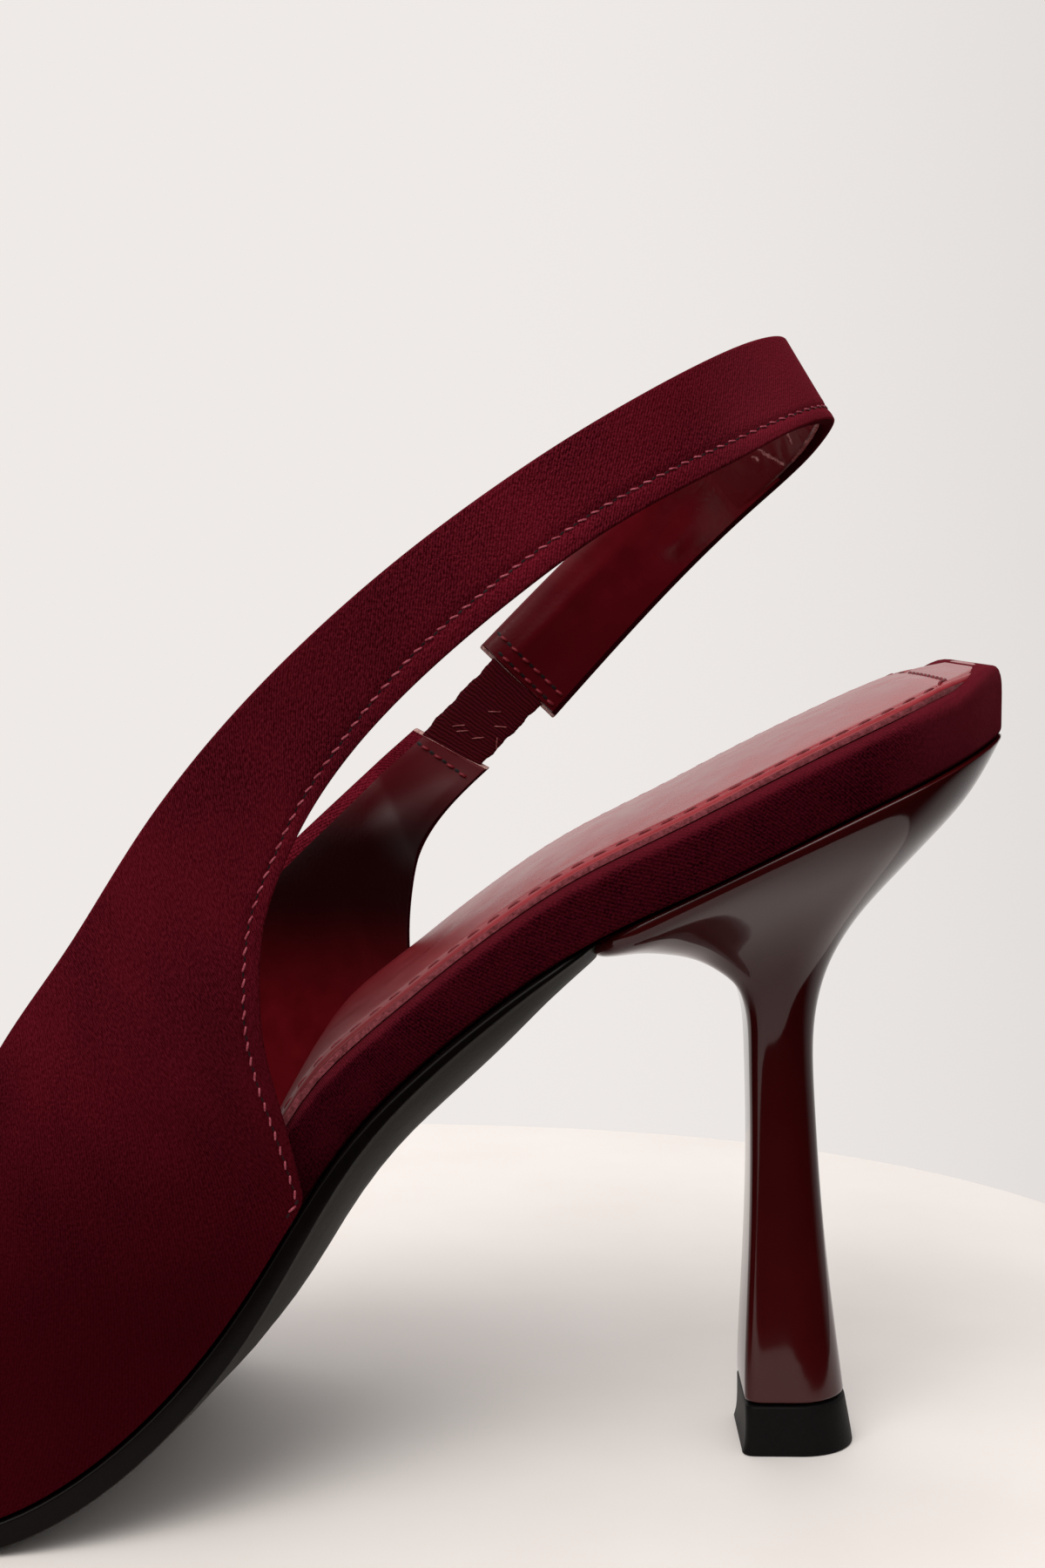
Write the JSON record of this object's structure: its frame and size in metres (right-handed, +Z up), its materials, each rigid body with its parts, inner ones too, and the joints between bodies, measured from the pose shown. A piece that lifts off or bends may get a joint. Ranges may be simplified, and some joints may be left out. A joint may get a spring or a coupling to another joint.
{
  "type": "slingback pump",
  "caption": "Pointed satin slingback pump for the left foot, with an elastic-set heel strap, leather sock and a tall lacquered heel flaring to its foot.",
  "frame": {"origin": "on the floor, under the middle of the shoe's length and breadth", "axes": "+Z up, toe towards -X, heel towards +X, outer side of the foot towards -Y"},
  "size_m": [0.233, 0.0793, 0.1374],
  "materials": {
    "sole_rubber": "black, polished edge",
    "heel_lacquer": "burgundy gloss lacquer",
    "lift_rubber": "black, matt",
    "rim_satin": "burgundy satin",
    "sock_leather": "burgundy, smooth, slightly glossy",
    "upper_satin": "burgundy satin",
    "elastic_webbing": "burgundy, ribbed"
  },
  "bodies": {
    "root": {"outsole": "sole_rubber", "heel": "heel_lacquer", "top_lift": "lift_rubber", "footbed": "rim_satin", "sock": "sock_leather", "upper": "upper_satin", "elastic": "elastic_webbing"}
  },
  "joints": []
}
